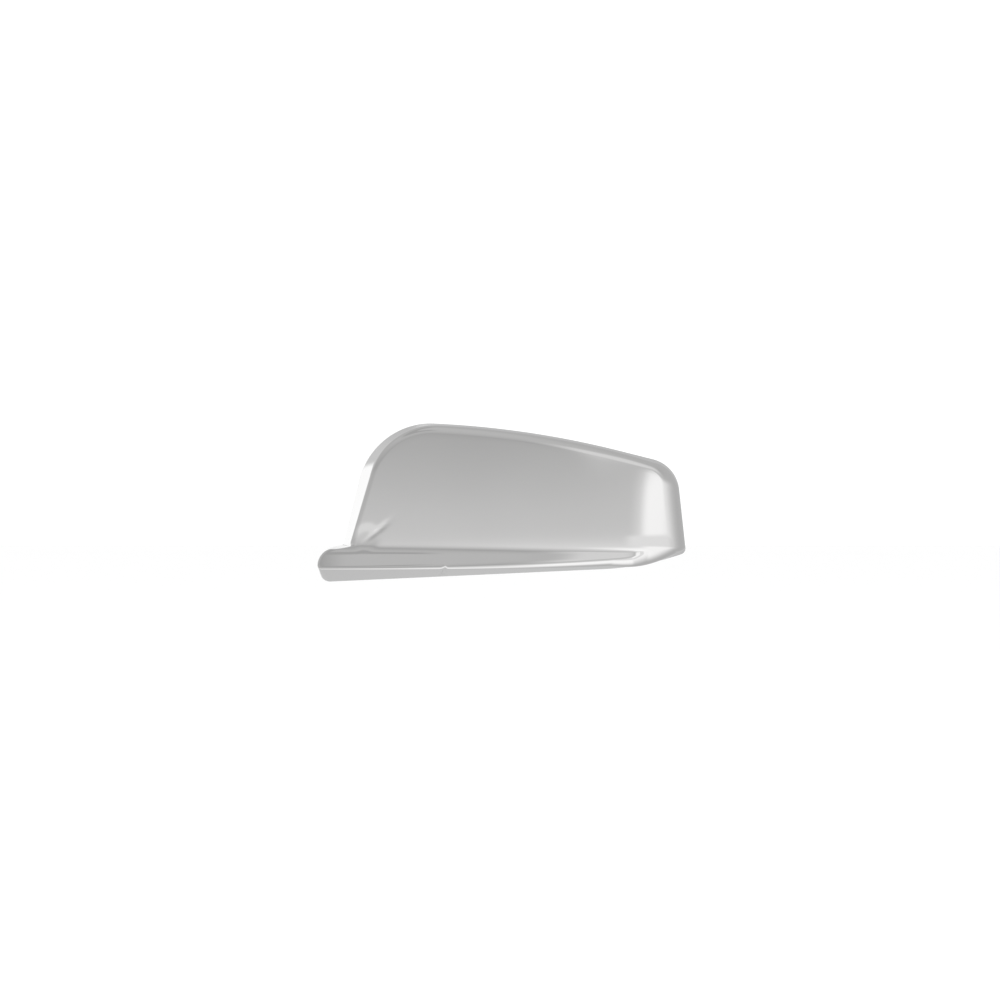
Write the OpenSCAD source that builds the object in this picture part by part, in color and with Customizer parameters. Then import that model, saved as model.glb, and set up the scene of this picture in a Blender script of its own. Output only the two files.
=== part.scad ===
// Wing mirror cover: a plated, moulded cap for a left-hand or right-hand door mirror.
// Front view is x (inboard to outboard) and z (up). The face looks towards -y, and the
// open back is the plane y = 0, where the rim seats on the mirror housing.

/* [Outline of the rim] */
// Overall width, from the end of the lip to the outboard foot
cap_w = 255; // [220:1:300]
// Height of the origin above the foot of the lip
foot_drop = 55.2; // [48:0.1:62]
// Height of the lip at its inboard end
lip_end_h = 26; // [20:0.5:32]
// How far the lip runs inboard past the body
lip_reach = 17.3; // [8:0.1:26]
// Height of the body's inboard corner above the lip
body_h = 86.1; // [74:0.1:98]
// Lean of the inboard edge, in degrees
inboard_lean = 13.9; // [6:0.1:22]
// Height of the outboard end over its foot
outboard_h = 60.6; // [52:0.1:68]
// Lean of the outboard edge, in degrees
outboard_lean = 6.2; // [2:0.1:12]
// Height of the outboard foot above the inboard foot
tail_lift = 20.4; // [14:0.1:26]
// Length of the rising tail of the lower edge
tail_l = 31; // [24:1:42]
// Slope of the tail, in degrees
tail_slope = 18.2; // [12:0.1:24]
// Place of the gentle bend in the top edge, outboard of the origin
bend_x = 20.4; // [5:0.1:40]
// Fall of the top edge inboard of the bend, in degrees
top_fall = 3; // [0:0.1:6]

/* [Corners of the rim] */
// Radius of the inner corner between lip and body
notch_r = 2.5; // [1:0.5:4]
// Radius of the big inboard corner
inboard_r = 51; // [35:1:54]
// Radius of the bend in the top edge
bend_r = 640; // [400:10:800]
// Radius of the outboard corner
outboard_r = 24; // [16:1:30]
// Radius of the outboard foot
foot_r = 4.5; // [3:0.5:8]
// Radius of the lower edge where the tail begins
tail_r = 195; // [120:5:210]
// Radius of the lip end, below
lip_low_r = 8.5; // [5:0.5:10]
// Radius of the lip end, above
lip_high_r = 15; // [8:0.5:17]

/* [Body form] */
// Depth of the body at its deepest place
body_d = 67; // [55:1:80]
// Place of the deepest section, inboard of the origin
crown_x = 25; // [10:1:45]
// How much shallower the body is at its inboard edge
inboard_fall = 9; // [4:0.5:16]
// How far past the rim the outboard curve would close
close_over = 15; // [10:0.5:24]
// Fullness of the outboard curve
fullness = 2.7; // [2.2:0.05:3.2]
// How far the face leans back from the crease to the top
face_lean = 9; // [4:0.5:14]

/* [Lip form] */
// Fall of the crease along the body
crease_fall = 1.4; // [0:0.1:3]
// Slope of the shelf at its inboard end, forward per height
shelf_slope = 0.95; // [0.5:0.01:1.3]
// How late the shelf fades towards the outboard end
shelf_fade = 2; // [1:0.1:4]
// Where the shelf's fade ends, in from the outboard foot
shelf_stop = 14; // [8:0.5:24]
// Where the shelf turns down, in from the outboard foot
turn_at = 39; // [30:1:55]
// Slope of that turn
turn_slope = 0.45; // [0.3:0.05:0.6]
// Reach of the fillet in the crease
crease_blend = 3.6; // [1:0.1:5]
// How far the face tucks back just above the crease, at the outboard end
tuck_d = 1.4; // [0:0.1:2]
// Height over which the tuck fades
tuck_l = 5; // [3:0.5:8]

/* [Edges between walls and face] */
// Width of the inboard edge at the notch, seen from the front
inboard_low_w = 11; // [8:0.1:14]
// Width of the inboard edge at the top
inboard_high_w = 14.5; // [8:0.1:16]
// Its radius
inboard_edge_r = 4; // [3:0.1:6]
// Width of the top edge
top_edge_w = 8.5; // [7:0.1:14]
// Its radius
top_edge_r = 6; // [4:0.1:8]
// Width of the outboard edge
outboard_edge_w = 14; // [10:0.1:20]
// Its radius
outboard_edge_r = 13; // [8:0.1:18]
// Width of the lip's underside at the lip end
nose_w = 12.3; // [9:0.1:15]
// Width of the edge round the lip's end
lip_end_w = 5.5; // [4.5:0.1:8]
// Width of the lip's underside at the tail
tail_w = 8.5; // [6:0.1:12]
// Radius of the lip's nose at the lip end
nose_r = 2.2; // [1.8:0.1:3.5]
// Radius of the lip's nose at the tail
tail_edge_r = 7.5; // [4:0.1:9]
// Width of the lip's upper edge
lip_top_w = 2.6; // [2:0.1:3.5]
// Its radius
lip_top_r = 1.8; // [1:0.1:2]

/* [Moulding] */
// Thickness of the moulded wall
wall = 2.4; // [1.6:0.1:3]

/* [Clips inside the rim] */
// Width of a clip
clip_w = 12; // [8:0.5:18]
// How far a clip stands in from the wall
clip_reach = 6.5; // [5:0.5:8]
// Thickness of a clip's tongue
clip_t = 1.8; // [1.2:0.1:2.4]
// Length of a clip's tongue
clip_l = 12; // [9:0.5:16]
// How far the hook stands out from the tongue
hook_out = 1.6; // [0.8:0.1:2.2]
// How far the clips stay below the rim
clip_sink = 2.5; // [1:0.5:4]

/* [Scoop by the crease] */
// Place of the scoop, outboard of the notch corner
scoop_x = 19.5; // [12:0.5:30]
// Height of the scoop above the crease
scoop_z = 10; // [6:0.5:16]
// Depth of the scoop
scoop_d = 1.5; // [0:0.05:2]
// Half length of the scoop
scoop_l = 7.5; // [5:0.5:12]
// Depth of the pinch that climbs out of the scoop
pinch_d = 0.9; // [0:0.05:1.2]

/* [Drain channel under the lip] */
// Place of the channel, from the origin
drain_x = -42; // [-80:1:20]
// How far the channel runs outboard on its way forward
drain_shift = 3.5; // [0:0.5:8]
// Width of the channel
drain_w = 2.6; // [1.6:0.1:4]
// Depth of the channel
drain_d = 0.7; // [0.3:0.1:1]
// Where the channel ends, in from the rim
drain_end = 18; // [10:1:40]

/* [Hidden] */
chrome = [0.78, 0.79, 0.80];

// Corner points of the rim, clockwise as seen from the front.
half_w = cap_w / 2;
foot_z = -foot_drop;
ledge_z = foot_z + lip_end_h;
notch = [-half_w + lip_reach, ledge_z];
inboard_top = notch + [body_h * tan(inboard_lean), body_h];
bend = [bend_x, inboard_top.y - (bend_x - inboard_top.x) * tan(top_fall)];
outboard_foot = [half_w, foot_z + tail_lift];
outboard_top = outboard_foot + [-outboard_h * tan(outboard_lean), outboard_h];
tail_start = outboard_foot - [tail_l, tail_l * tan(tail_slope)];
lip_low = [-half_w, foot_z];
lip_high = [-half_w, ledge_z];
corners = [notch, inboard_top, bend, outboard_top, outboard_foot, tail_start, lip_low, lip_high];
corner_r = [notch_r, inboard_r, bend_r, outboard_r, foot_r, tail_r, lip_low_r, lip_high_r];
sides = len(corners);

// Width of the edge and its radius, each at the start and the end of each side.
edge_w = [
    [inboard_low_w, inboard_high_w],
    [top_edge_w, top_edge_w],
    [top_edge_w, top_edge_w],
    [outboard_edge_w, outboard_edge_w],
    [tail_w, tail_w],
    [tail_w, nose_w],
    [lip_end_w, lip_end_w],
    [lip_top_w, lip_top_w]
];
edge_r = [
    [inboard_edge_r, inboard_edge_r],
    [top_edge_r, top_edge_r],
    [top_edge_r, top_edge_r],
    [outboard_edge_r, outboard_edge_r],
    [tail_edge_r, tail_edge_r],
    [tail_edge_r, nose_r],
    [nose_r, nose_r],
    [lip_top_r, lip_top_r]
];

// Steps along each corner arc and each side, the same number above and below the crease.
arc_steps = [4, 10, 8, 8, 6, 6, 5, 5];
side_steps = [7, 2, 3, 6, 2, 16, 2, 2];
edge_steps = 6;
face_steps = 8;

// Turns of the path and inward normals.
function wrap(i) = (i + sides) % sides;
function heading(p, q) = atan2(q.y - p.y, q.x - p.x);
function along(a) = [cos(a), sin(a)];
function inward(a) = [sin(a), -cos(a)];
function cross2(a, b) = a.x * b.y - a.y * b.x;
function turn(a, b) = let (d = b - a) d > 180 ? d - 360 : d < -180 ? d + 360 : d;
function mix(a, b, f) = a + (b - a) * f;

// The outline moved inwards: each side by its own two widths.
function inset_start(i, inset) = corners[i] + inward(side_heading(i)) * inset[i][0];
function inset_end(i, inset) = corners[wrap(i + 1)] + inward(side_heading(i)) * inset[i][1];
function side_heading(i) = heading(corners[i], corners[wrap(i + 1)]);
function inset_corner(i, inset) =
    let (
        before = wrap(i - 1),
        p = inset_end(before, inset),
        q = inset_start(i, inset),
        a = p - inset_start(before, inset),
        b = inset_end(i, inset) - q
    )
    p + a * cross2(q - p, b) / cross2(a, b);

// A polygon corner as an arc: [start, heading in, turn, signed radius]. The tangent
// lengths of two neighbouring corners share a side that is too short for both.
function corner_arcs(points, radii) =
    let (
        heads = [for (i = [0:sides - 1]) heading(points[i], points[wrap(i + 1)])],
        lengths = [for (i = [0:sides - 1]) norm(points[wrap(i + 1)] - points[i])],
        turns = [for (i = [0:sides - 1]) turn(heads[wrap(i - 1)], heads[i])],
        wanted = [for (i = [0:sides - 1]) radii[i] * tan(abs(turns[i]) / 2)],
        reach = [
            for (i = [0:sides - 1])
            let (
                before = lengths[wrap(i - 1)] / (wanted[i] + wanted[wrap(i - 1)]),
                after = lengths[i] / (wanted[i] + wanted[wrap(i + 1)])
            )
            wanted[i] * min(1, 0.98 * before, 0.98 * after)
        ]
    )
    [
        for (i = [0:sides - 1])
        [
            points[i] - along(heads[wrap(i - 1)]) * reach[i],
            heads[wrap(i - 1)],
            turns[i],
            -sign(turns[i]) * reach[i] / tan(abs(turns[i]) / 2)
        ]
    ];
function arc_point(arc, f) =
    arc[0] + inward(arc[1]) * arc[3] - inward(arc[1] + arc[2] * f) * arc[3];

// The ring runs clockwise from the middle of the notch corner. Each entry of ring_places
// is [corner or side, fraction], with sides counted after the corners.
ring_places = concat(
    [for (j = [arc_steps[0] / 2:arc_steps[0] - 1]) [0, j / arc_steps[0]]],
    [for (j = [0:side_steps[0] - 1]) [sides, j / side_steps[0]]],
    [
        for (i = [1:sides - 1])
        each concat(
            [for (j = [0:arc_steps[i] - 1]) [i, j / arc_steps[i]]],
            [for (j = [0:side_steps[i] - 1]) [sides + i, j / side_steps[i]]]
        )
    ],
    [for (j = [0:arc_steps[0] / 2 - 1]) [0, j / arc_steps[0]]]
);
ring_n = len(ring_places);
half_n = ring_n / 2;
function ring(inset, radii) =
    let (
        points = [for (i = [0:sides - 1]) inset_corner(i, inset)],
        arcs = corner_arcs(points, radii)
    )
    [
        for (place = ring_places)
        place[0] < sides
            ? arc_point(arcs[place[0]], place[1])
            : let (i = place[0] - sides)
              mix(arc_point(arcs[i], 1), arc_point(arcs[wrap(i + 1)], 0), place[1])
    ];
// Radii of the outline after it has moved inwards.
function inset_radii(inset) = [
    for (i = [0:sides - 1])
    let (moved = (inset[i][0] + inset[wrap(i - 1)][1]) / 2)
    i == 0 ? corner_r[i] : max(corner_r[i] - moved, 1.5)
];
ring_edge_r = [
    for (place = ring_places)
    place[0] < sides
        ? mix(edge_r[wrap(place[0] - 1)][1], edge_r[place[0]][0], place[1])
        : mix(edge_r[place[0] - sides][0], edge_r[place[0] - sides][1], place[1])
];

// Depth of the body along x: a shallow parabola inboard of the crown, and a
// superellipse that closes past the rim outboard of it.
close_x = half_w + close_over;
inboard_x = notch.x;
function plan_depth(x) =
    x < -crown_x
        ? body_d - inboard_fall * pow((x + crown_x) / (inboard_x + crown_x), 2)
        : body_d * pow(1 - pow(min(x + crown_x, close_x) / (close_x + crown_x), fullness), 0.55);
// The crease falls gently outboard. Above it the face tucks back a little, more so
// outboard, and then leans back towards the top.
function crease_z(x) = ledge_z - lip_top_w - crease_fall * (x - inboard_x) / cap_w;
function lean(x, z) = face_lean * pow((z - crease_z(x)) / body_h, 2);
function tuck(x) = tuck_d * min(1, max(0, x / cap_w + 0.5));
function tuck_fade(up) = up > 0 ? exp(-up) : 1 - up;
// A bell curve over an ellipse at a place by the notch, leaning over the crease.
function bell(x, z, at, half, angle) =
    let (
        p = [x - notch.x, z - crease_z(x)] - at,
        a = (p.x * cos(angle) + p.y * sin(angle)) / half.x,
        b = (p.y * cos(angle) - p.x * sin(angle)) / half.y
    )
    exp(-a * a - b * b);
scoop_lean = 20;
pinch_lean = 35;
pinch_w = 1.6;
pinch_shift = [8.5, 5.5];
function dimple(x, z) =
    scoop_d * bell(x, z, [scoop_x, scoop_z], [scoop_l, scoop_l / 2], scoop_lean)
    + pinch_d * bell(x, z, [scoop_x, scoop_z] + pinch_shift, [scoop_l, pinch_w], pinch_lean);
function body_depth(x, z) =
    plan_depth(x) * (1 - lean(x, z) / body_d)
    - tuck(x) * tuck_fade((z - crease_z(x)) / tuck_l)
    - dimple(x, z);
// The shelf comes forward below the tucked crease, less and less towards the outboard
// end, where it turns down. Above the crease it runs under the face.
shelf_end_x = half_w - shelf_stop;
shelf_back = 0.3;
turn_l = 12;
function shelf_way(x) = max(0, (x - inboard_x) / (shelf_end_x - inboard_x));
function turned(x) = min(1, max(0, (x - half_w + turn_at) / turn_l));
function shelf(x) =
    shelf_slope * (1 - pow(shelf_way(x), shelf_fade)) - turn_slope * turned(x);
function lip_depth(x, z) =
    let (below = crease_z(x) - z)
    plan_depth(x) - tuck(x) + (below > 0 ? shelf(x) : max(shelf(x), shelf_back)) * below;
// The greater of two depths with a rounded change between them.
function round_max(a, b, k) = max(a, b) + pow(max(k - abs(a - b), 0), 2) / (4 * k);
function face_depth(x, z, skin) =
    round_max(
        body_depth(x, z) - skin,
        lip_depth(x, z) - skin * norm([1, shelf(x)]),
        crease_blend * pow(max(shelf(x), 0.001), 1.5)
    );

// Section of an edge: a wall that leans from the rim to an arc, and the arc turning
// onto the face. h runs from 0 at the rim to w on the face, which is f deep there.
function edge_arc(w, r, f) = min(r, 0.94 * w, 0.7 * f);
function wall_angle(w, r, f) = atan2(f - r, w) + asin(r / norm([w, f - r]));
function wall_run(w, r, f) =
    sqrt(max(0, w * w + pow(f - r, 2) - r * r)) * cos(wall_angle(w, r, f));
function edge_depth(h, w, edge, f) =
    let (r = edge_arc(w, edge, f), run = wall_run(w, r, f))
    h < run
        ? h * tan(wall_angle(w, r, f))
        : f - r + sqrt(max(0, r * r - pow(w - h, 2)));
// Places of the rows across an edge, as fractions of its width.
function edge_rows(w, edge, f) =
    let (r = edge_arc(w, edge, f), lean_a = 90 - wall_angle(w, r, f))
    concat(
        [0, wall_run(w, r, f) / w / 2],
        [for (j = [0:edge_steps]) 1 - r / w * cos(mix(lean_a, 90, j / edge_steps))]
    );

// One skin of the shell: a row list for each place round the ring. The rows cross the
// edge and then close on the crease, where the upper and the lower half meet.
spine_in = 3;
spine_out = 7;
function eased(q) = q - 0.9 * sin(360 * q) / 360 * 180 / PI;
function skin_rows(skin) =
    let (
        rim_inset = [for (i = [0:sides - 1]) [skin, skin]],
        face_inset = [for (side = edge_w) [for (w = side) max(w, skin + 1.2)]],
        rim = ring(rim_inset, inset_radii(rim_inset)),
        face = ring(face_inset, inset_radii(face_inset)),
        from_x = face[0].x + spine_in,
        to_x = face[half_n].x - spine_out
    )
    [
        for (i = [0:ring_n - 1])
        let (
            q = min(i, ring_n - i) / half_n,
            spine_x = mix(from_x, to_x, eased(q)),
            spine = [spine_x, crease_z(spine_x)],
            w = norm(face[i] - rim[i]),
            edge = max(ring_edge_r[i] - skin, 0.6),
            f = face_depth(face[i].x, face[i].y, skin)
        )
        concat(
            [
                for (h = edge_rows(w, edge, f))
                let (p = mix(rim[i], face[i], h))
                [p.x, -edge_depth(h * w, w, edge, face_depth(p.x, p.y, skin)), p.y]
            ],
            [
                for (j = [1:face_steps])
                let (p = mix(spine, face[i], pow(1 - j / face_steps, 2)))
                [p.x, -face_depth(p.x, p.y, skin), p.y]
            ]
        )
    ];
rows = 2 + edge_steps + 1 + face_steps;

// The shell: outer skin, inner skin and the flat rim between them.
module shell() {
    outer = skin_rows(0);
    inner = skin_rows(wall);
    skin_n = ring_n * rows;
    points = concat([for (r = outer) each r], [for (r = inner) each r]);
    quads = [
        for (i = [0:ring_n - 1])
        for (j = [0:rows - 2])
        let (k = (i + 1) % ring_n)
        [i * rows + j, i * rows + j + 1, k * rows + j + 1, k * rows + j]
    ];
    faces = concat(
        [for (c = quads) each [[c[0], c[2], c[1]], [c[0], c[3], c[2]]]],
        [
            for (c = quads)
            let (d = [for (v = c) v + skin_n])
            each [[d[0], d[1], d[2]], [d[0], d[2], d[3]]]
        ],
        [
            for (i = [0:ring_n - 1])
            let (a = i * rows, b = ((i + 1) % ring_n) * rows)
            each [[a, a + skin_n, b + skin_n], [a, b + skin_n, b]]
        ]
    );
    polyhedron(points = points, faces = faces, convexity = 8);
}

// One snap clip. Here x runs along the rim, y inwards and z into the cover: a root grows
// out of the wall, a tongue runs back towards the rim, and a hook stands at its end.
gusset_t = 1.6;
gusset_l = 8;
hook_l = 4.5;
module slab(x, y, z, size) {
    translate([x, y, z])
        cube(size);
}
module gusset(x, root_z, lean_in) {
    end_z = root_z + gusset_l;
    hull() {
        slab(x, root_z * lean_in - wall / 2, root_z, [gusset_t, clip_reach + wall / 2, 0.1]);
        slab(x, end_z * lean_in - wall / 2, end_z, [gusset_t, wall, 0.1]);
    }
}
module clip(lean_in) {
    root_z = clip_sink + clip_l;
    root_y = root_z * lean_in - wall / 2;
    slab(-clip_w / 2, root_y, root_z, [clip_w, clip_reach - root_y, clip_t]);
    slab(-clip_w / 2, clip_reach - clip_t, clip_sink, [clip_w, clip_t, clip_l + clip_t]);
    hull() {
        slab(-clip_w / 2, clip_reach - 0.1, clip_sink, [clip_w, 0.1, hook_l]);
        slab(-clip_w / 2, clip_reach, clip_sink + hook_l * 0.7, [clip_w, hook_out, 0.5]);
    }
    for (x = [-clip_w / 2, clip_w / 2 - gusset_t])
        gusset(x, root_z + clip_t / 2, lean_in);
}

// Clips round the rim, each as [corner or side, fraction], as the ring places are.
clip_places = [
    [sides + 0, 0.45], [2, 0.12], [sides + 2, 0.5],
    [sides + 3, 0.45], [sides + 5, 0.3], [sides + 5, 0.75]
];
module clips() {
    inset = [for (i = [0:sides - 1]) [wall, wall]];
    points = [for (i = [0:sides - 1]) inset_corner(i, inset)];
    arcs = corner_arcs(points, inset_radii(inset));
    for (place = clip_places) {
        i = wrap(place[0]);
        on_side = place[0] >= sides;
        a = on_side ? arc_point(arcs[i], 1) : arc_point(arcs[i], place[1]);
        b = on_side ? arc_point(arcs[wrap(i + 1)], 0) : a;
        p = mix(a, b, on_side ? place[1] : 0);
        t = on_side ? arcs[i][1] + arcs[i][2] : arcs[i][1] + arcs[i][2] * place[1];
        w = mix(edge_w[i][0], edge_w[i][1], place[1]) - wall;
        r = mix(edge_r[i][0], edge_r[i][1], place[1]) - wall;
        f = plan_depth(p.x) - wall;
        lean_in = 1 / tan(wall_angle(w, edge_arc(w, r, f), f));
        multmatrix([
            [-cos(t), sin(t), 0, p.x],
            [0, 0, -1, 0],
            [-sin(t), -cos(t), 0, p.y],
            [0, 0, 0, 1]
        ])
            clip(lean_in);
    }
}

// The channel: a round cutter laid along the underside, which rises from the rim to the nose.
function under_z(x) = mix(tail_start.y, lip_low.y, (tail_start.x - x) / (tail_start.x - lip_low.x));
module drain() {
    cut_r = (pow(drain_w / 2, 2) + drain_d * drain_d) / (2 * drain_d);
    front_y = plan_depth(drain_x) + shelf(drain_x) * nose_w;
    w = mix(tail_w, nose_w, (tail_start.x - drain_x) / (tail_start.x - lip_low.x));
    rise = tan(90 - wall_angle(w, nose_r, front_y));
    back_z = under_z(drain_x) + drain_end * rise;
    front_z = under_z(drain_x + drain_shift) + front_y * rise;
    hull() {
        translate([drain_x, -drain_end, back_z + drain_d - cut_r])
            sphere(r = cut_r, $fn = 24);
        translate([drain_x + drain_shift, -front_y - cut_r, front_z + cut_r * rise + drain_d - cut_r])
            sphere(r = cut_r, $fn = 24);
    }
}

// The whole moulding.
module mirror_cover() {
    color(chrome)
        difference() {
            union() {
                shell();
                clips();
            }
            drain();
        }
}

mirror_cover();
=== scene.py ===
from math import radians

import bmesh
import bpy
import numpy as np
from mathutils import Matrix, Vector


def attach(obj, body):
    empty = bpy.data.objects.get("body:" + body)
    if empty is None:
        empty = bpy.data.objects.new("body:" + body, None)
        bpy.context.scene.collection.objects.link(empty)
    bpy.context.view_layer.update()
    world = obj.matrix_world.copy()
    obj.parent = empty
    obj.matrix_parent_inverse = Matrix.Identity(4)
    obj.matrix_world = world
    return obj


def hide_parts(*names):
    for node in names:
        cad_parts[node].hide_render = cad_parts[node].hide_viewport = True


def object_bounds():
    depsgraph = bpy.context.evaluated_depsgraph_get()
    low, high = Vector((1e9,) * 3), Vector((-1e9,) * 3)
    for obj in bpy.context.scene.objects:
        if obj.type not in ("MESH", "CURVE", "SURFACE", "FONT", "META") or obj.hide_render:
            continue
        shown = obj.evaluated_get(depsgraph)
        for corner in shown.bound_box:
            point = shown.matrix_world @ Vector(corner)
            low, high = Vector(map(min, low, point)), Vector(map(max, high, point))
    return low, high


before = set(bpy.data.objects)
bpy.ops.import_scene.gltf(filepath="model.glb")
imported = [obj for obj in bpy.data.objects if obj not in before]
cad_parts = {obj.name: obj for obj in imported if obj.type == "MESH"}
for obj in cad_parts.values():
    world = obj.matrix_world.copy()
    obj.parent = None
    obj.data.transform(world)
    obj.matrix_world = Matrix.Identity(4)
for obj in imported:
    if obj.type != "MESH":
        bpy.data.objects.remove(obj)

cad_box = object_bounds()
# Metres in a millimetre. The cover is worked out in millimetres and degrees.
MM = 0.001

# Outline of the rim in the front view, x outboard and z up: the lip's end, the body over it,
# the tail that rises to the outboard foot, and the top.
CAP_W = 255.0
FOOT_DROP = 55.2
LIP_END_H = 26.0
LIP_REACH = 17.3
LIP_DROP = 4.0
BODY_H = 86.1
INBOARD_LEAN = 13.9
OUTBOARD_H = 60.6
OUTBOARD_LEAN = 6.2
TAIL_LIFT = 20.4
TAIL_L = 31.0
TAIL_SLOPE = 18.2
BEND_X = 20.4
TOP_FALL = 3.0
# Radii of its corners: notch, inboard top, bend, outboard top, outboard foot, tail, low and
# high corner of the lip's end. Neighbours take up to this share of a side for their arcs.
CORNER_R = np.array([2.5, 51.0, 640.0, 24.0, 4.5, 195.0, 8.5, 15.0])
CORNER_COUNT = len(CORNER_R)
MIN_R = 1.5
SIDE_SHARE = 0.98

# Form of the face: its depth, how far inboard of the middle its crown stands, and how it falls
# off to either side, leans back towards the top and tucks in at the crease.
BODY_D = 67.0
CROWN_X = 25.0
INBOARD_FALL = 9.0
CLOSE_OVER = 15.0
FULLNESS, CLOSE_POWER = 2.7, 0.55
FACE_LEAN = 9.0
TUCK_D, TUCK_L = 1.4, 5.0

# Form of the crease: its fall over the whole width, the reach of its rounding, and the power
# and the least value that the shelf's slope has in this.
CREASE_FALL = 1.4
CREASE_BLEND, BLEND_POWER, MIN_SLOPE = 3.6, 1.5, 0.001
# Form of the shelf under it: its slope, the power by which this fades outboard, how far short
# of the end it is gone, its least value under the face, and where and how far it turns down.
SHELF_SLOPE, SHELF_FADE = 0.95, 2.0
SHELF_STOP, SHELF_BACK = 14.0, 0.3
TURN_AT, TURN_L, TURN_SLOPE = 39.0, 12.0, 0.45

# Width and radius of the edge between rim and face, at the start and the end of each side.
# The arc takes no more than a share of the edge's width and of its depth.
INBOARD_LOW_W, INBOARD_HIGH_W, INBOARD_R = 11.0, 14.5, 4.0
TOP_EDGE, OUTBOARD_EDGE, LIP_TOP = (8.5, 6.0), (14.0, 13.0), (2.6, 1.8)
NOSE_W, TAIL_W, NOSE_R, TAIL_R, LIP_END_W = 12.3, 8.5, 2.2, 7.5, 5.5
EDGE_W = np.array([
    [INBOARD_LOW_W, INBOARD_HIGH_W], [TOP_EDGE[0]] * 2, [TOP_EDGE[0]] * 2, [OUTBOARD_EDGE[0]] * 2,
    [TAIL_W] * 2, [TAIL_W, NOSE_W], [LIP_END_W] * 2, [LIP_TOP[0]] * 2])
EDGE_R = np.array([
    [INBOARD_R] * 2, [TOP_EDGE[1]] * 2, [TOP_EDGE[1]] * 2, [OUTBOARD_EDGE[1]] * 2,
    [TAIL_R] * 2, [TAIL_R, NOSE_R], [NOSE_R] * 2, [LIP_TOP[1]] * 2])
ARC_OF_WIDTH, ARC_OF_DEPTH = 0.94, 0.7

# Wall of the moulding, the round of its rim, and the least edge width and radius inside.
WALL = 2.4
SOFT = 0.35
MIN_EDGE_W, MIN_EDGE_R = 1.2, 0.6

# Pressed mark beside the crease: a scoop, and a narrow pinch that climbs out of it. Each has
# its place outboard of the notch and up from the crease, its half lengths, lean and depth.
SCOOP_AT, SCOOP_HALF, SCOOP_LEAN, SCOOP_D = (19.0, 8.5), (8.5, 7.5), 30.0, 1.1
PINCH_AT, PINCH_HALF, PINCH_LEAN, PINCH_D = (27.5, 13.5), (8.5, 1.5), 40.0, 0.9

# Drain channel across the lip's underside: the x of its back end and its shift outboard
# towards the nose, its half width and depth, the y of its back end and how far under the
# crease it starts, and the lengths over which it fades in from these.
DRAIN_X, DRAIN_SHIFT = -42.0, 3.5
DRAIN_W, DRAIN_D = 1.3, 1.2
DRAIN_END, DRAIN_BELOW = -18.0, 9.0
DRAIN_FADE_Y, DRAIN_FADE_Z = 6.0, 2.0

# Snap clips: tongue, hook and gussets, and the corner (0 to 7) or side (8 to 15) of the rim
# and the fraction of it where each stands.
CLIP_W, CLIP_REACH, CLIP_T, CLIP_L, CLIP_SINK = 12.0, 6.5, 1.8, 12.0, 2.5
HOOK_OUT, HOOK_L, HOOK_PEAK, HOOK_BITE = 1.6, 4.5, 0.7, 0.1
GUSSET_T, GUSSET_L = 1.6, 8.0
CLIP_PLACES = [(8, 0.45), (2, 0.12), (10, 0.5), (11, 0.45), (13, 0.3), (13, 0.75)]

# Steps along each corner arc and each side of the outline, and their multiple here. Rows of
# the outer and the inner skin, up the wall, round the arc and in over the face.
ARC_STEPS = [4, 10, 8, 8, 6, 6, 5, 5]
SIDE_STEPS = [7, 2, 3, 6, 2, 16, 2, 2]
FINE = 8
OUTER_ROWS, INNER_ROWS, RIM_STEPS = (12, 20, 36), (2, 8, 16), 5
# The spine, in which the rows end: how far in it starts and stops, the length of its rise at
# either end, and how closely places crowd to its ends and rows to it.
SPINE_IN, SPINE_OUT, BEND_IN, BEND_OUT = 3.0, 7.0, 12.0, 26.0
END_CROWD, ROW_CROWD = 0.9, 1.7


def along(angle):
    """Unit vector at an angle in degrees."""
    a = np.radians(angle)
    return np.stack([np.cos(a), np.sin(a)], -1)


def inward(angle):
    """Unit vector square to a heading, on its right-hand side."""
    a = np.radians(angle)
    return np.stack([np.sin(a), -np.cos(a)], -1)


def tan_deg(angle):
    """Tangent of an angle in degrees."""
    return np.tan(np.radians(angle))


# Outline
def outline_corners():
    """Corner points of the rim, clockwise from the notch between lip and body."""
    half = CAP_W / 2
    foot = -FOOT_DROP
    ledge = foot + LIP_END_H
    notch = [-half + LIP_REACH, ledge]
    inboard = [notch[0] + BODY_H * tan_deg(INBOARD_LEAN), ledge + BODY_H]
    bend = [BEND_X, inboard[1] - (BEND_X - inboard[0]) * tan_deg(TOP_FALL)]
    out_foot = [half, foot + TAIL_LIFT]
    out_top = [half - OUTBOARD_H * tan_deg(OUTBOARD_LEAN), out_foot[1] + OUTBOARD_H]
    tail = [half - TAIL_L, out_foot[1] - TAIL_L * tan_deg(TAIL_SLOPE)]
    high = [-half, ledge - LIP_DROP]
    return np.array([notch, inboard, bend, out_top, out_foot, tail, [-half, foot], high])


CORNERS = outline_corners()


def inset_corners(inset):
    """Corners of the outline after each side has moved in by its two widths: the crossing
    of each moved side with the one before it."""
    side = np.roll(CORNERS, -1, 0) - CORNERS
    normal = inward(np.degrees(np.arctan2(side[:, 1], side[:, 0])))
    start = CORNERS + normal * inset[:, :1]
    end = np.roll(CORNERS, -1, 0) + normal * inset[:, 1:]
    a = np.roll(end - start, 1, 0)
    p = np.roll(end, 1, 0)
    b = end - start
    gap = start - p
    share = (gap[:, 0] * b[:, 1] - gap[:, 1] * b[:, 0]) / (a[:, 0] * b[:, 1] - a[:, 1] * b[:, 0])
    return p + a * share[:, None]


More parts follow.
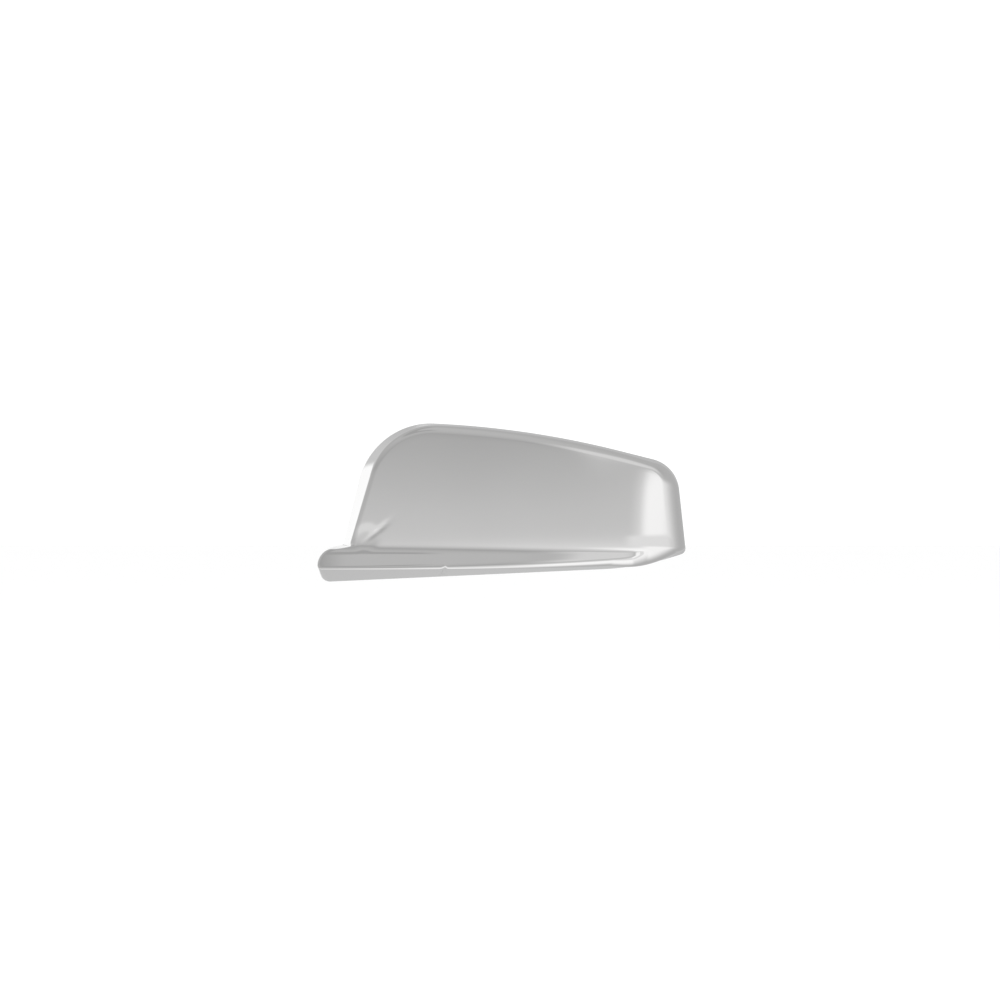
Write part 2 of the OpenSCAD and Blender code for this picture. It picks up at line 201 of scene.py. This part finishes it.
def corner_arcs(points, radii):
    """Arc of each corner as start point, heading in, turn and signed radius. Neighbours
    share a side that is too short for both of their tangent lengths."""
    side = np.roll(points, -1, 0) - points
    heads = np.degrees(np.arctan2(side[:, 1], side[:, 0]))
    lengths = np.hypot(side[:, 0], side[:, 1])
    into = np.roll(heads, 1)
    turns = (heads - into + 180) % 360 - 180
    wanted = radii * tan_deg(np.abs(turns) / 2)
    before = np.roll(lengths, 1) / (wanted + np.roll(wanted, 1))
    after = lengths / (wanted + np.roll(wanted, -1))
    reach = wanted * np.minimum(1, SIDE_SHARE * np.minimum(before, after))
    radius = -np.sign(turns) * reach / tan_deg(np.abs(turns) / 2)
    return points - along(into) * reach[:, None], into, turns, radius


def arc_points(arcs, i, f):
    """Points at the fractions f of the arc of corner i: its centre less the turned normal
    times the radius."""
    start, into, turns, radius = (part[i] for part in arcs)
    return start + inward(into) * radius - inward(into + turns * f) * radius


def side_points(arcs, i, f):
    """Points at the fractions f of side i: straight from the end of one arc to the start
    of the next."""
    a = arc_points(arcs, i, np.array([1.0]))
    b = arc_points(arcs, (i + 1) % CORNER_COUNT, np.array([0.0]))
    return a + (b - a) * f[:, None]


def ring_places():
    """Corner or side, and fraction, of each place round the ring, from the middle of the
    notch corner. Sides are counted after the corners."""
    arcs = [np.arange(n * FINE) / (n * FINE) for n in ARC_STEPS]
    sides = [np.arange(n * FINE) / (n * FINE) for n in SIDE_STEPS]
    half = len(arcs[0]) // 2
    runs = [(0, arcs[0][half:]), (CORNER_COUNT, sides[0])]
    for i in range(1, CORNER_COUNT):
        runs += [(i, arcs[i]), (CORNER_COUNT + i, sides[i])]
    return runs + [(0, arcs[0][:half])]


def ring(inset, radii):
    """The outline moved in and rounded, as points round the ring."""
    arcs = corner_arcs(inset_corners(inset), radii)
    return np.concatenate([
        arc_points(arcs, i, f) if i < CORNER_COUNT else side_points(arcs, i - CORNER_COUNT, f)
        for i, f in ring_places()])


def inset_radii(inset):
    """Radii of the outline after it has moved in: less everywhere but at the notch."""
    moved = (inset[:, 0] + np.roll(inset[:, 1], 1)) / 2
    radii = np.maximum(CORNER_R - moved, MIN_R)
    radii[0] = CORNER_R[0]
    return radii


def ring_edge_radii():
    """Edge radius at each place: a straight change along each side and each arc."""
    parts = []
    for i, f in ring_places():
        on_arc = i < CORNER_COUNT
        a, b = (EDGE_R[i - 1, 1], EDGE_R[i, 0]) if on_arc else EDGE_R[i - CORNER_COUNT]
        parts.append(a + (b - a) * f)
    return np.concatenate(parts)


# Depth of the face
def plan_depth(x):
    """Depth of the body along x: a parabola inboard of the crown, and outboard of it a
    superellipse that closes past the rim."""
    close = CAP_W / 2 + CLOSE_OVER + CROWN_X
    way = np.clip(x + CROWN_X, 0, close) / close
    out = BODY_D * np.power(1 - np.power(way, FULLNESS), CLOSE_POWER)
    inside = BODY_D - INBOARD_FALL * ((x + CROWN_X) / (CORNERS[0, 0] + CROWN_X)) ** 2
    return np.where(x < -CROWN_X, inside, out)


def crease_z(x):
    """Height of the crease: a line that falls gently outboard."""
    return CORNERS[0, 1] - LIP_TOP[0] - CREASE_FALL * (x - CORNERS[0, 0]) / CAP_W


def bell(x, z, at, half, lean, flat=1):
    """A bell curve over an ellipse: its middle, half lengths, lean over the crease and a
    power that flattens its top."""
    px, pz = x - CORNERS[0, 0] - at[0], z - crease_z(x) - at[1]
    c, s = np.cos(radians(lean)), np.sin(radians(lean))
    a = (px * c + pz * s) / half[0]
    b = (pz * c - px * s) / half[1]
    return np.exp(-(a * a + b * b) ** flat)


def dimple(x, z):
    """A shallow flat-bottomed scoop beside the crease, and a pinch that climbs out of it."""
    scoop = bell(x, z, SCOOP_AT, SCOOP_HALF, SCOOP_LEAN, flat=2)
    pinch = bell(x, z, PINCH_AT, PINCH_HALF, PINCH_LEAN)
    return SCOOP_D * scoop + PINCH_D * pinch


def tuck(x):
    """How far the face tucks back at the crease: more in step with x."""
    return TUCK_D * np.clip(x / CAP_W + 0.5, 0, 1)


def body_depth(x, z):
    """Plan depth, less a lean that grows with the square of the height over the crease,
    and less a tuck that fades up from the crease, runs straight on below it and grows
    outboard."""
    up = (z - crease_z(x)) / TUCK_L
    lean = FACE_LEAN * (up * TUCK_L / BODY_H) ** 2
    fade = np.where(up > 0, np.exp(-np.maximum(up, 0)), 1 - up)
    return plan_depth(x) * (1 - lean / BODY_D) - tuck(x) * fade


def shelf(x):
    """Slope of the lip's shelf: full inboard, less by a power of the way outboard, and
    turned down over a short length near the end."""
    end = CAP_W / 2 - SHELF_STOP
    way = np.maximum(0, (x - CORNERS[0, 0]) / (end - CORNERS[0, 0]))
    turned = np.clip((x - CAP_W / 2 + TURN_AT) / TURN_L, 0, 1)
    return SHELF_SLOPE * (1 - way ** SHELF_FADE) - TURN_SLOPE * turned


def face_depth(x, z, skin):
    """The greater of body and lip depth, with a rounded change of the crease's reach, less
    the dimple. The lip starts from the tucked crease, and runs under the face at SHELF_BACK
    or steeper."""
    slope = shelf(x)
    below = crease_z(x) - z
    run = np.where(below > 0, slope, np.maximum(slope, SHELF_BACK)) * below
    a = body_depth(x, z) - skin
    b = plan_depth(x) - tuck(x) + run - skin * np.hypot(1, slope)
    k = CREASE_BLEND * np.maximum(slope, MIN_SLOPE) ** BLEND_POWER
    return np.maximum(a, b) + np.maximum(k - np.abs(a - b), 0) ** 2 / (4 * k) - dimple(x, z)


# Edge between rim and face
def edge_section(w, edge, f):
    """Arc radius, wall angle and wall width of an edge w wide on a face f deep: the wall
    is the tangent from the rim to the arc that turns onto the face."""
    r = np.minimum(edge, np.minimum(ARC_OF_WIDTH * w, ARC_OF_DEPTH * f))
    reach = np.hypot(w, f - r)
    angle = np.arctan2(f - r, w) + np.arcsin(r / reach)
    return r, angle, np.sqrt(np.maximum(0, reach ** 2 - r ** 2)) * np.cos(angle)


def edge_depth(h, w, edge, f):
    """Depth at h across the edge: up the wall, then round the arc."""
    r, angle, run = edge_section(w, edge, f)
    arc = f - r + np.sqrt(np.maximum(0, r * r - (w - h) ** 2))
    return np.where(h < run, h * np.tan(angle), arc)


def edge_shares(w, edge, f, wall_rows, arc_rows):
    """Shares of the edge's width at which its rows stand: evenly up the wall, then at even
    turns round the arc."""
    r, angle, run = edge_section(w, edge, f)
    turn = np.linspace(0, 1, arc_rows + 1)[None, :]
    arc = 1 - r / w * np.cos((np.pi / 2 - angle) * (1 - turn) + np.pi / 2 * turn)
    wall = run / w * np.linspace(0, 1, wall_rows, endpoint=False)[None, :]
    return np.concatenate([wall, arc], 1)


# Skins of the shell
def spine_points(q, first, last):
    """Points of the line in which the rows end: on the crease, but for a rise at either
    end by the square of the way, whose end heads for the ring's first or last place."""
    ends = np.array([first[0] + SPINE_IN, last[0] - SPINE_OUT])
    x = ends[0] + (ends[1] - ends[0]) * q
    z = crease_z(x)
    for place, end, bend in ((first, ends[0], BEND_IN), (last, ends[1], BEND_OUT)):
        rise = (place[1] - crease_z(place[0])) / (1 + 2 * abs(place[0] - end) / bend)
        z = z + rise * np.clip(1 - np.abs(x - end) / bend, 0, 1) ** 2
    return np.stack([x, z], -1)


def spine_shares(n):
    """Share of the spine at each of n places: out and back, crowded to its ends by a sine."""
    q = np.minimum(np.arange(n), n - np.arange(n)) / (n / 2)
    return q - END_CROWD * np.sin(2 * np.pi * q) / (2 * np.pi)


def skin_grid(skin, wall_rows, arc_rows, face_rows):
    """One skin of the shell as a grid, round the ring by from rim to crease. A place is
    set in the front view, across the edge and then in to the crease, and its depth comes
    from the edge section and the face."""
    sides = np.full((CORNER_COUNT, 2), float(skin))
    face_inset = np.maximum(EDGE_W, skin + MIN_EDGE_W)
    rim = ring(sides, inset_radii(sides))
    face = ring(face_inset, inset_radii(face_inset))
    n = len(rim)
    spine = spine_points(spine_shares(n), face[0], face[n // 2])
    w = np.hypot(*(face - rim).T)[:, None]
    edge = np.maximum(ring_edge_radii() - skin, MIN_EDGE_R)[:, None]
    f = face_depth(face[:, :1], face[:, 1:], skin)
    h = edge_shares(w, edge, f, wall_rows, arc_rows)
    p = rim[:, None] + (face - rim)[:, None] * h[..., None]
    y = edge_depth(h * w, w, edge, face_depth(p[..., 0], p[..., 1], skin))
    t = (1 - np.arange(1, face_rows + 1) / face_rows) ** ROW_CROWD
    g = spine[:, None] + (face - spine)[:, None] * t[None, :, None]
    gy = face_depth(g[..., 0], g[..., 1], skin)
    front = np.concatenate([p, g], 1)
    depth = np.concatenate([y, gy], 1)
    return np.stack([front[..., 0], -depth, front[..., 1]], -1)


def cut_drain(grid):
    """A shallow channel across the underside of the lip: points near its line move up by
    a flat-topped bell curve of their distance along x, from the nose back to its end."""
    x, y, z = grid[..., 0], grid[..., 1], grid[..., 2]
    line = DRAIN_X + (y - DRAIN_END) / (-BODY_D - DRAIN_END) * DRAIN_SHIFT
    below = np.clip((crease_z(x) - z - DRAIN_BELOW) / DRAIN_FADE_Z, 0, 1)
    back = np.clip((DRAIN_END - y) / DRAIN_FADE_Y, 0, 1)
    grid[..., 2] = z + DRAIN_D * np.exp(-((x - line) / DRAIN_W) ** 4) * below * back
    return grid


def round_rim(outer, inner):
    """Both skins with their rim rows rounded: from each skin a quarter turn of radius SOFT
    rises towards the flat of the rim."""
    turn = np.linspace(0, np.pi / 2, RIM_STEPS)
    across = inner[:, 0] - outer[:, 0]
    gap = np.linalg.norm(across, axis=1, keepdims=True)
    across = across / gap
    step = SOFT * (1 - np.cos(turn))[None, :, None]
    drop = -SOFT * (1 - np.sin(turn))[None, :, None] * np.array([0, 1, 0])
    lip_out = outer[:, :1] + across[:, None] * step + drop
    lip_in = outer[:, :1] + across[:, None] * (gap[..., None] - step[:, ::-1]) + drop[:, ::-1]
    return (np.concatenate([lip_out[:, ::-1], outer[:, 1:]], 1),
            np.concatenate([lip_in, inner[:, 1:]], 1))


def grid_quads(n, rows, start, flip):
    """Quads of a closed ring of n places by rows, numbered from start."""
    i, j = np.meshgrid(np.arange(n), np.arange(rows - 1), indexing="ij")
    k = (i + 1) % n
    quads = np.stack([i * rows + j, k * rows + j, k * rows + j + 1, i * rows + j + 1], -1)
    quads = quads.reshape(-1, 4) + start
    return quads[:, ::-1] if flip else quads


def shell_arrays():
    """Points, quads and material numbers of the shell: outer skin, inner skin and the flat
    of the rim between them. The inner skin takes the second material."""
    outer, inner = round_rim(cut_drain(skin_grid(0.0, *OUTER_ROWS)), skin_grid(WALL, *INNER_ROWS))
    points = np.concatenate([outer.reshape(-1, 3), inner.reshape(-1, 3)])
    n, rows_out, rows_in = len(outer), outer.shape[1], inner.shape[1]
    start = n * rows_out
    i = np.arange(n)
    k = (i + 1) % n
    bridge = np.stack([i * rows_out, start + i * rows_in, start + k * rows_in, k * rows_out], -1)
    front = grid_quads(n, rows_out, 0, False)
    back = grid_quads(n, rows_in, start, True)
    quads = np.concatenate([front, back, bridge])
    material_of = np.concatenate([np.zeros(len(front)), np.ones(len(back)), np.zeros(n)])
    return points, quads, material_of


# Clips
def rectangle(x0, x1, y0, y1, z):
    """Four corners of a flat rectangle at height z."""
    return [[x0, y0, z], [x1, y0, z], [x1, y1, z], [x0, y1, z]]


def prism(low, high):
    """Eight corners and six quads of a block between two four-sided ends."""
    points = np.array(low + high, dtype=float)
    quads = np.array([
        [3, 2, 1, 0], [4, 5, 6, 7], [0, 1, 5, 4], [1, 2, 6, 5], [2, 3, 7, 6], [3, 0, 4, 7]])
    return points, quads


def clip_blocks(lean_in):
    """Root, tongue, hook and two gussets of a clip, on a wall that leans in by lean_in for
    each millimetre of depth: x along the rim, y in, z into the cover."""
    half = CLIP_W / 2
    root_z = CLIP_SINK + CLIP_L
    root_y = root_z * lean_in - WALL / 2
    top_z = root_z + CLIP_T
    back_y = CLIP_REACH - HOOK_BITE
    low = rectangle(-half, half, back_y, CLIP_REACH, CLIP_SINK)
    peak = rectangle(-half, half, back_y, CLIP_REACH + HOOK_OUT, CLIP_SINK + HOOK_L * HOOK_PEAK)
    end = rectangle(-half, half, back_y, CLIP_REACH, CLIP_SINK + HOOK_L)
    tongue_y = CLIP_REACH - CLIP_T
    blocks = [
        prism(rectangle(-half, half, root_y, CLIP_REACH, root_z),
              rectangle(-half, half, root_y, CLIP_REACH, top_z)),
        prism(rectangle(-half, half, tongue_y, CLIP_REACH, CLIP_SINK),
              rectangle(-half, half, tongue_y, CLIP_REACH, top_z)),
        prism(low, peak), prism(peak, end)]
    start_z = root_z + CLIP_T / 2
    end_z = start_z + GUSSET_L
    foot, far = start_z * lean_in - WALL / 2, end_z * lean_in - WALL / 2
    for x in (-half, half - GUSSET_T):
        blocks.append(prism(rectangle(x, x + GUSSET_T, foot, CLIP_REACH, start_z),
                            rectangle(x, x + GUSSET_T, far, far + WALL, end_z)))
    return blocks


def clip_arrays():
    """Points and quads of every clip, turned to its place on the inner rim: along the rim,
    in and forward."""
    sides = np.full((CORNER_COUNT, 2), WALL)
    arcs = corner_arcs(inset_corners(sides), inset_radii(sides))
    points, quads = [], []
    for place, f in CLIP_PLACES:
        i = place % CORNER_COUNT
        on_arc = place < CORNER_COUNT
        p = (arc_points if on_arc else side_points)(arcs, i, np.array([f]))[0]
        heading = arcs[1][i] + arcs[2][i] * (f if on_arc else 1)
        w = EDGE_W[i, 0] + (EDGE_W[i, 1] - EDGE_W[i, 0]) * f - WALL
        r = EDGE_R[i, 0] + (EDGE_R[i, 1] - EDGE_R[i, 0]) * f - WALL
        angle = edge_section(w, r, plan_depth(p[0]) - WALL)[1]
        t, n = along(heading), inward(heading)
        for block, faces in clip_blocks(1 / np.tan(angle)):
            x = p[0] - t[0] * block[:, 0] + n[0] * block[:, 1]
            z = p[1] - t[1] * block[:, 0] + n[1] * block[:, 1]
            quads.append(faces + len(block) * len(points))
            points.append(np.stack([x, -block[:, 2], z], -1))
    return np.concatenate(points), np.concatenate(quads)


# Meshes
# Points nearer than this are one, in metres, and corners steeper than these stay sharp, in
# degrees.
SEAM_GAP = 1e-7
SHELL_SHARP, CLIP_SHARP = 50, 30


def new_piece(name, points, quads, materials, material_of):
    """A mesh object from points in millimetres and quads, with its place in its mesh."""
    mesh = bpy.data.meshes.new(name)
    mesh.from_pydata((points * MM).tolist(), [], quads.tolist())
    for material in materials:
        mesh.materials.append(material)
    mesh.polygons.foreach_set("material_index", material_of.astype(np.int32))
    mesh.polygons.foreach_set("use_smooth", np.ones(len(quads), dtype=bool))
    piece = bpy.data.objects.new(name, mesh)
    bpy.context.scene.collection.objects.link(piece)
    return piece


def merge_seam(piece):
    """Merge the seam along the crease, where the rows of the upper and lower half meet."""
    bm = bmesh.new()
    bm.from_mesh(piece.data)
    bmesh.ops.remove_doubles(bm, verts=bm.verts, dist=SEAM_GAP)
    bm.to_mesh(piece.data)
    bm.free()


# Materials
# Finish of the bright face and of the duller inside: tint, least and greatest roughness,
# scales of blotches and grain, the grain's strength and its height in metres, and metallic.
CHROME = {
    "tint": (0.845, 0.84, 0.837), "rough": (0.035, 0.075), "scales": (14.0, 900.0),
    "bump": (0.02, 0.0002), "metal": 1.0}
BARE_BACK = {
    "tint": (0.62, 0.63, 0.65), "rough": (0.3, 0.42), "scales": (30.0, 2600.0),
    "bump": (0.25, 0.0003), "metal": 0.9}
# Noise of the marks: name, detail and roughness. The stretch of the blotches over which gloss
# and tint change, and how dark the tint becomes.
MARKS = (("Blotch", 3.0, 0.5), ("Grain", 2.0, 0.6))
GLOSS_FROM, GLOSS_TO = 0.3, 0.7
SHADE_FROM, SHADE_TO, SHADE = 0.2, 0.8, 0.97
# Sockets of a Mix node that mixes colours: its share, its two colours and its result.
MIX_SHARE, MIX_FIRST, MIX_SECOND, MIX_RESULT = 0, 6, 7, 2


def node(tree, kind, **values):
    """A node of a kind with its named inputs set."""
    made = tree.nodes.new(kind)
    for name, value in values.items():
        made.inputs[name.replace("_", " ")].default_value = value
    return made


def colour_mix(tree, share, first, second):
    """A colour mix of two sockets or colours by a socket's share, as its output socket."""
    mix = tree.nodes.new("ShaderNodeMix")
    mix.data_type = "RGBA"
    tree.links.new(share, mix.inputs[MIX_SHARE])
    for socket, given in ((mix.inputs[MIX_FIRST], first), (mix.inputs[MIX_SECOND], second)):
        if isinstance(given, bpy.types.NodeSocket):
            tree.links.new(given, socket)
        else:
            socket.default_value = (*given, 1)
    return mix.outputs[MIX_RESULT]


def handling_group():
    """Group: soft blotches and a fine grain, as values from nought to one, for tint, gloss
    and bump."""
    tree = bpy.data.node_groups.new("handling", "ShaderNodeTree")
    given = tree.nodes.new("NodeGroupInput")
    out = tree.nodes.new("NodeGroupOutput")
    place = tree.nodes.new("ShaderNodeTexCoord")
    for name, detail, rough in MARKS:
        scale = name + " Scale"
        tree.interface.new_socket(scale, in_out="INPUT", socket_type="NodeSocketFloat")
        tree.interface.new_socket(name, in_out="OUTPUT", socket_type="NodeSocketFloat")
        noise = node(tree, "ShaderNodeTexNoise", Detail=detail, Roughness=rough)
        tree.links.new(place.outputs["Object"], noise.inputs["Vector"])
        tree.links.new(given.outputs[scale], noise.inputs["Scale"])
        tree.links.new(noise.outputs["Fac"], out.inputs[name])
    return tree


def plated(name, group, tint, rough, scales, bump, metal):
    """A plated finish: tint and gloss that vary in blotches over a faint grain."""
    material = bpy.data.materials.new(name)
    material.use_nodes = True
    tree = material.node_tree
    link = tree.links.new
    shader = tree.nodes["Principled BSDF"]
    shader.inputs["Base Color"].default_value = (*tint, 1)
    shader.inputs["Metallic"].default_value = metal
    marks = tree.nodes.new("ShaderNodeGroup")
    marks.node_tree = group
    marks.inputs["Blotch Scale"].default_value, marks.inputs["Grain Scale"].default_value = scales
    gloss = node(tree, "ShaderNodeMapRange", From_Min=GLOSS_FROM, From_Max=GLOSS_TO,
                 To_Min=rough[0], To_Max=rough[1])
    link(marks.outputs["Blotch"], gloss.inputs["Value"])
    link(gloss.outputs["Result"], shader.inputs["Roughness"])
    shade = node(tree, "ShaderNodeMapRange", From_Min=SHADE_FROM, From_Max=SHADE_TO)
    link(marks.outputs["Blotch"], shade.inputs["Value"])
    darker = [channel * SHADE for channel in tint]
    link(colour_mix(tree, shade.outputs["Result"], darker, tint), shader.inputs["Base Color"])
    relief = node(tree, "ShaderNodeBump", Strength=bump[0], Distance=bump[1])
    link(marks.outputs["Grain"], relief.inputs["Height"])
    link(relief.outputs["Normal"], shader.inputs["Normal"])
    return material


# Studio
# Plain light for all but reflections, and for these a tent of light: its level by height of
# the direction, white below, grey ahead, darkest above that and a little paler overhead.
WHITE = 1.12
HEIGHT_STOPS = [
    (-1.0, 1.15), (-0.75, 1.1), (-0.52, 0.78), (-0.2, 0.82), (-0.04, 0.67), (0.05, 0.65),
    (0.2, 0.57), (0.38, 0.46), (0.46, 0.42), (0.54, 0.46), (0.7, 0.5), (0.85, 0.54), (1.0, 0.56)]
# Panels, each laid over the last: a level, and axes with the places where it starts and is
# full. Each comment says where on the cover the panel is seen.
PANELS = [
    # The top wall.
    (0.5, ("Z", 0.0, 0.06), ("Y", 0.1, 0.5)),
    # The outboard half of the shelf.
    (0.76, ("X", 0.12, 0.4), ("Z", 0.18, 0.4), ("Z", 0.9, 0.7), ("Y", 0.0, -0.3), ("Y", -0.92, -0.84)),
    # The underside.
    (0.55, ("Z", 0.0, -0.1), ("Y", 0.2, 0.6)),
    # A dark line in the round of the inboard corner.
    (0.42, ("X", -0.03, -0.13), ("Z", 0.84, 0.9), ("Z", 0.97, 0.95)),
    # The soft edge of the highlight.
    (0.95, ("X", 0.64, 0.84), ("Z", 0.24, 0.12)),
    # The nose of the lip, outboard.
    (1.12, ("X", 0.14, 0.36), ("Z", -0.2, -0.34)),
    # The highlight on the outboard face.
    (1.07, ("X", 0.72, 0.8), ("X", 0.96, 0.87), ("Z", 0.2, 0.12)),
    # The grey step at its foot.
    (0.86, ("X", 0.6, 0.7), ("Z", -0.01, -0.05), ("Z", -0.24, -0.18), ("Y", 0.1, -0.1)),
    # The outboard edge.
    (0.5, ("X", 0.0, 0.3), ("Y", -0.5, 0.6)),
    # The wall of the inboard corner.
    (0.6, ("X", -0.05, -0.2), ("Y", 0.4, 0.7), ("Z", 0.5, 0.35), ("Z", -0.14, -0.06)),
    # The white inboard wall under it.
    (1.05, ("X", 0.0, -0.1), ("Y", 0.4, 0.7), ("Z", 0.108, 0.092), ("Z", -0.14, -0.06))]

# Width of the square frame at the rim and the camera's offset, in metres, and its lens.
FRAME_W = 0.693
FRAME_SHIFT = (-0.0014, 0.0017)
LENS, SENSOR = 100, 36
# Floor under the cover, in metres, and the broad lamp over it, in metres and watts.
FLOOR_DROP, FLOOR_W, FLOOR_GREY, FLOOR_ROUGH = 0.3, 40, 0.93, 0.9
LAMP_W, LAMP_POWER, LAMP_AT = 2.5, 30, (0, 0.3, 2.2)


def height_level(tree, height):
    """The tent's level by height of the direction, as a colour socket."""
    share = node(tree, "ShaderNodeMapRange", From_Min=-1.0, From_Max=1.0)
    tree.links.new(height, share.inputs["Value"])
    ramp = tree.nodes.new("ShaderNodeValToRGB")
    tree.links.new(share.outputs["Result"], ramp.inputs["Fac"])
    ramp.color_ramp.interpolation = "B_SPLINE"
    while len(ramp.color_ramp.elements) < len(HEIGHT_STOPS):
        ramp.color_ramp.elements.new(0.5)
    for element, (z, level) in zip(ramp.color_ramp.elements, HEIGHT_STOPS):
        element.position = (z + 1) / 2
        element.color = (level, level, level, 1)
    return ramp.outputs["Color"]


def panel_mask(tree, direction, edges):
    """Product of a panel's smooth edges, each along one axis of the direction."""
    mask = None
    for axis, start, end in edges:
        edge = node(tree, "ShaderNodeMapRange", From_Min=start, From_Max=end)
        edge.interpolation_type = "SMOOTHSTEP"
        tree.links.new(direction.outputs[axis], edge.inputs["Value"])
        if mask is None:
            mask = edge.outputs["Result"]
            continue
        product = tree.nodes.new("ShaderNodeMath")
        product.operation = "MULTIPLY"
        tree.links.new(mask, product.inputs[0])
        tree.links.new(edge.outputs["Result"], product.inputs[1])
        mask = product.outputs["Value"]
    return mask


def world_light():
    """A tent of soft light by direction, its level set by height and by panels laid over
    it. Only reflections see the tent: all else sees plain white."""
    world = bpy.data.worlds.new("studio")
    bpy.context.scene.world = world
    world.use_nodes = True
    tree = world.node_tree
    place = tree.nodes.new("ShaderNodeTexCoord")
    direction = tree.nodes.new("ShaderNodeSeparateXYZ")
    tree.links.new(place.outputs["Generated"], direction.inputs["Vector"])
    colour = height_level(tree, direction.outputs["Z"])
    for level, *edges in PANELS:
        colour = colour_mix(tree, panel_mask(tree, direction, edges), colour, (level, level, level))
    ray = tree.nodes.new("ShaderNodeLightPath")
    seen = colour_mix(tree, ray.outputs["Is Glossy Ray"], (WHITE, WHITE, WHITE), colour)
    tree.links.new(seen, tree.nodes["Background"].inputs["Color"])
    tree.nodes["Background"].inputs["Strength"].default_value = 1.0


def studio(floor_z):
    """A pale floor under the cover and one broad soft lamp over it, both hidden from
    reflections."""
    bpy.ops.mesh.primitive_plane_add(size=FLOOR_W, location=(0, 0, floor_z))
    floor = bpy.context.object
    floor.name = "floor"
    material = bpy.data.materials.new("pale_floor")
    material.use_nodes = True
    shader = material.node_tree.nodes["Principled BSDF"]
    shader.inputs["Base Color"].default_value = (FLOOR_GREY, FLOOR_GREY, FLOOR_GREY, 1)
    shader.inputs["Roughness"].default_value = FLOOR_ROUGH
    floor.data.materials.append(material)
    floor.visible_glossy = False
    lamp = bpy.data.lights.new("overhead", "AREA")
    lamp.shape = "DISK"
    lamp.size = LAMP_W
    lamp.energy = LAMP_POWER
    overhead = bpy.data.objects.new("overhead", lamp)
    overhead.location = LAMP_AT
    bpy.context.scene.collection.objects.link(overhead)
    overhead.visible_glossy = False


def camera():
    """A long lens straight ahead of the face, as far off as makes the frame FRAME_W wide
    at the rim."""
    data = bpy.data.cameras.new("camera")
    data.lens = LENS
    data.sensor_width = SENSOR
    placed = bpy.data.objects.new("camera", data)
    placed.location = (FRAME_SHIFT[0], -FRAME_W * LENS / SENSOR, FRAME_SHIFT[1])
    placed.rotation_euler = (radians(90), 0, 0)
    bpy.context.scene.collection.objects.link(placed)
    bpy.context.scene.camera = placed


# The cover
group = handling_group()
chrome = plated("plated_chrome", group, **CHROME)
plain_back = plated("plated_back", group, **BARE_BACK)
shell_points, shell_quads, shell_materials = shell_arrays()
cover = new_piece("cover_shell", shell_points, shell_quads, [chrome, plain_back], shell_materials)
merge_seam(cover)
cover.data.set_sharp_from_angle(angle=radians(SHELL_SHARP))
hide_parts("mirror_cover")
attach(cover, "root")
clip_points, clip_quads = clip_arrays()
clips = new_piece("snap_clips", clip_points, clip_quads, [plain_back], np.zeros(len(clip_quads)))
clips.data.set_sharp_from_angle(angle=radians(CLIP_SHARP))
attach(clips, "root")

world_light()
studio(cad_box[0][2] - FLOOR_DROP)
camera()
bpy.context.scene.view_settings.view_transform = "Standard"
